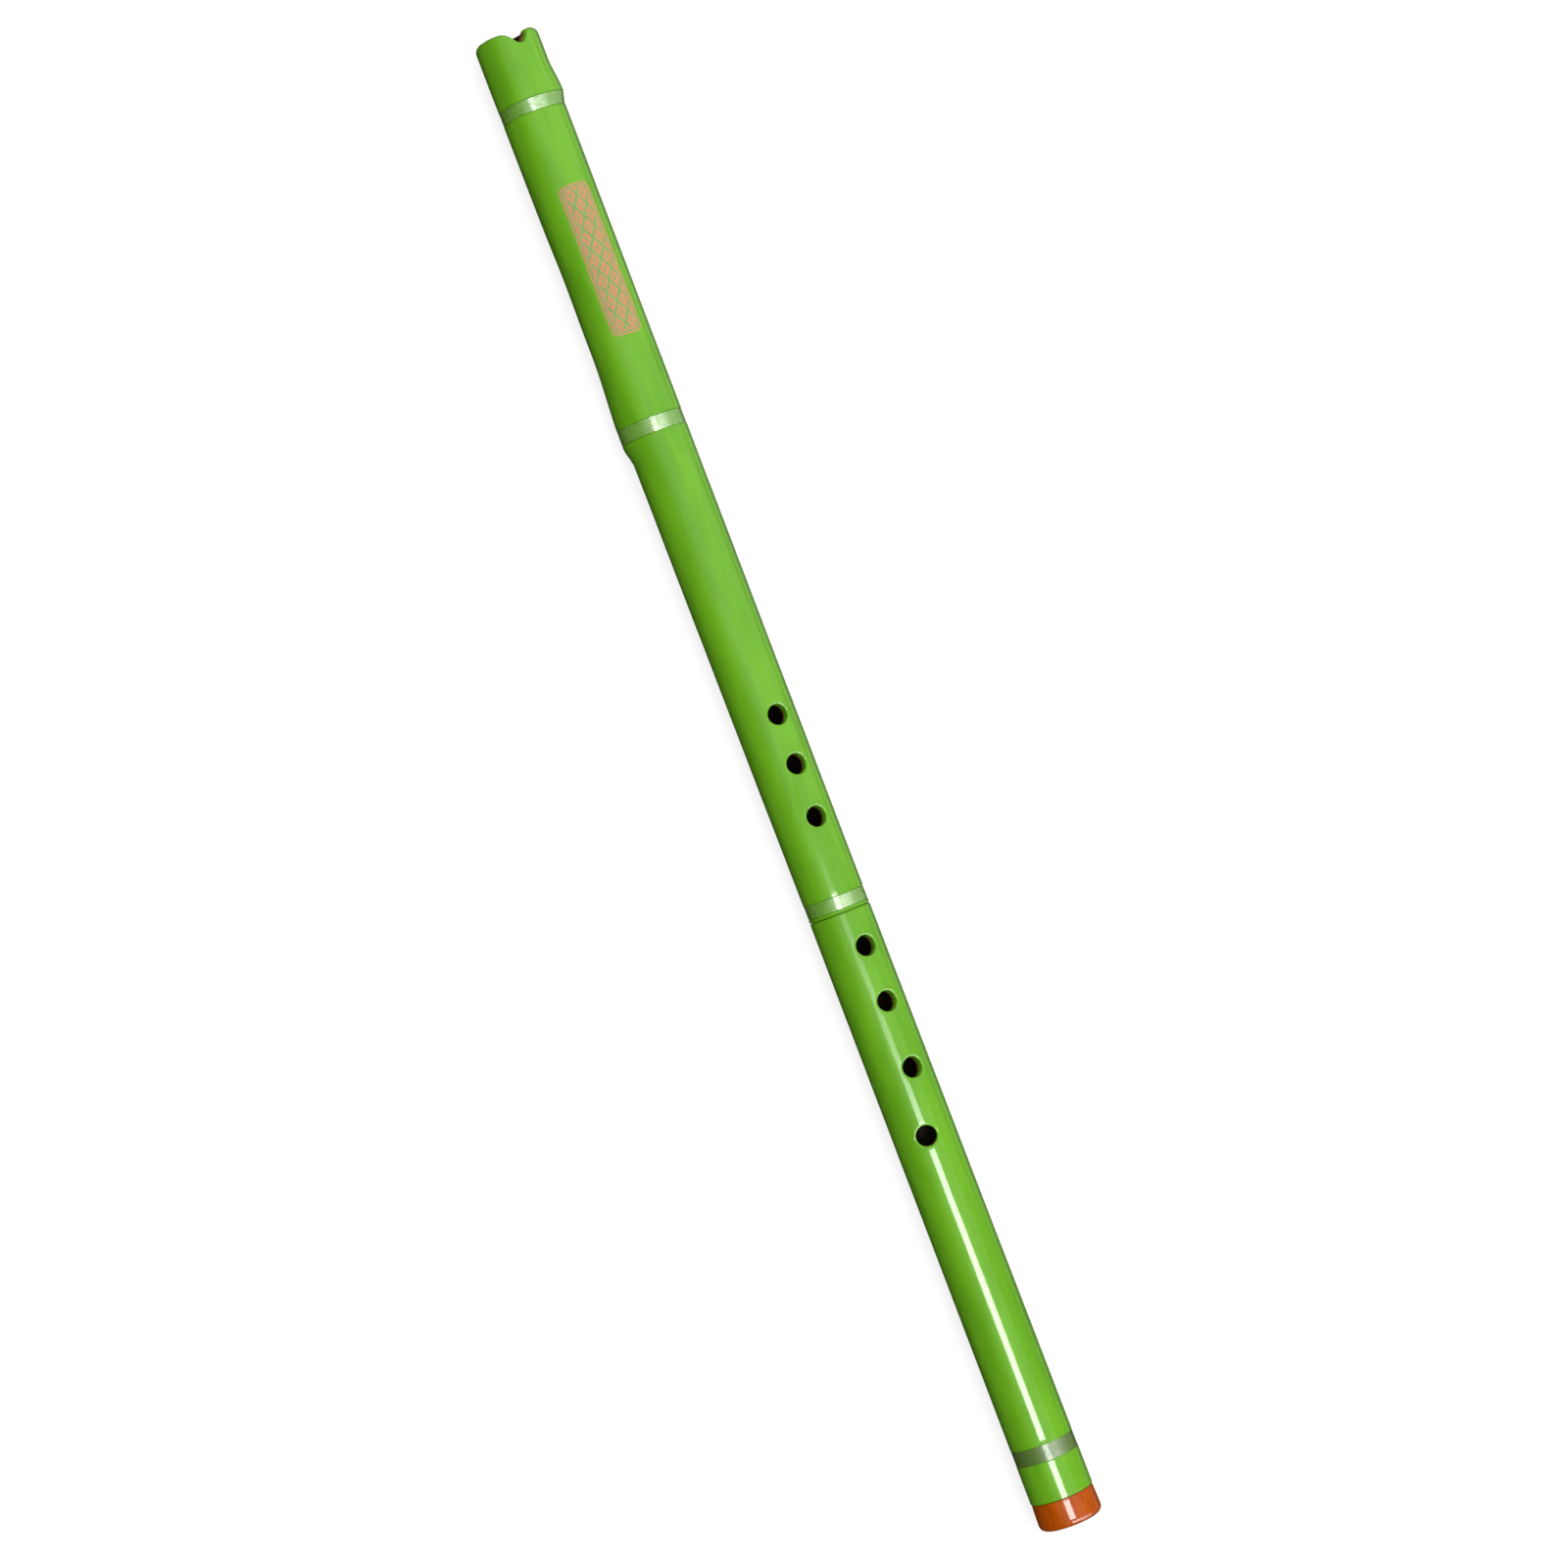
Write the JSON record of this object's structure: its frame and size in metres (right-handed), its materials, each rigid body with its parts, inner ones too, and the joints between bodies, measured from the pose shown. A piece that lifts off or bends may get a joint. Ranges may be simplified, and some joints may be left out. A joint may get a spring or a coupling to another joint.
{
  "type": "xiao",
  "caption": "Notched end-blown bamboo flute in two sections, with a lapped tenon joint, sunken line bindings, finger holes and a ring at the foot.",
  "frame": {"origin": "on the resting plane, under the middle of the flute lying on its back", "axes": "+X from the mouth to the foot, +Z towards the finger holes, +Y to the player's left"},
  "size_m": [0.7, 0.0312, 0.0291],
  "materials": {
    "lacquered_bamboo": "glossy green lacquer",
    "binding_line": "clear wound line",
    "sleeve_brass": "turned",
    "lapping_cork": "greased cork",
    "foot_ring_wood": "glossy orange-brown lacquer"
  },
  "bodies": {
    "upper_section": {"upper_tube": "lacquered_bamboo", "binding_mouth": "binding_line", "binding_node": "binding_line", "binding_joint": "binding_line", "socket_liner": "sleeve_brass"},
    "lapping": {"tenon_lapping": "lapping_cork"},
    "lower_section": {"lower_tube": "lacquered_bamboo", "tenon_sleeve": "sleeve_brass", "binding_foot": "binding_line", "foot_ring": "foot_ring_wood"}
  },
  "joints": [
    {"name": "pull_apart", "type": "slide", "parent": "upper_section", "child": "lapping", "axis": [1, 0, 0], "range_m": [0, 0.024]},
    {"name": "twist", "type": "hinge", "parent": "lapping", "child": "lower_section", "pos_m": [0.063, 0, 0.01451], "axis": [1, 0, 0], "continuous": true}
  ]
}
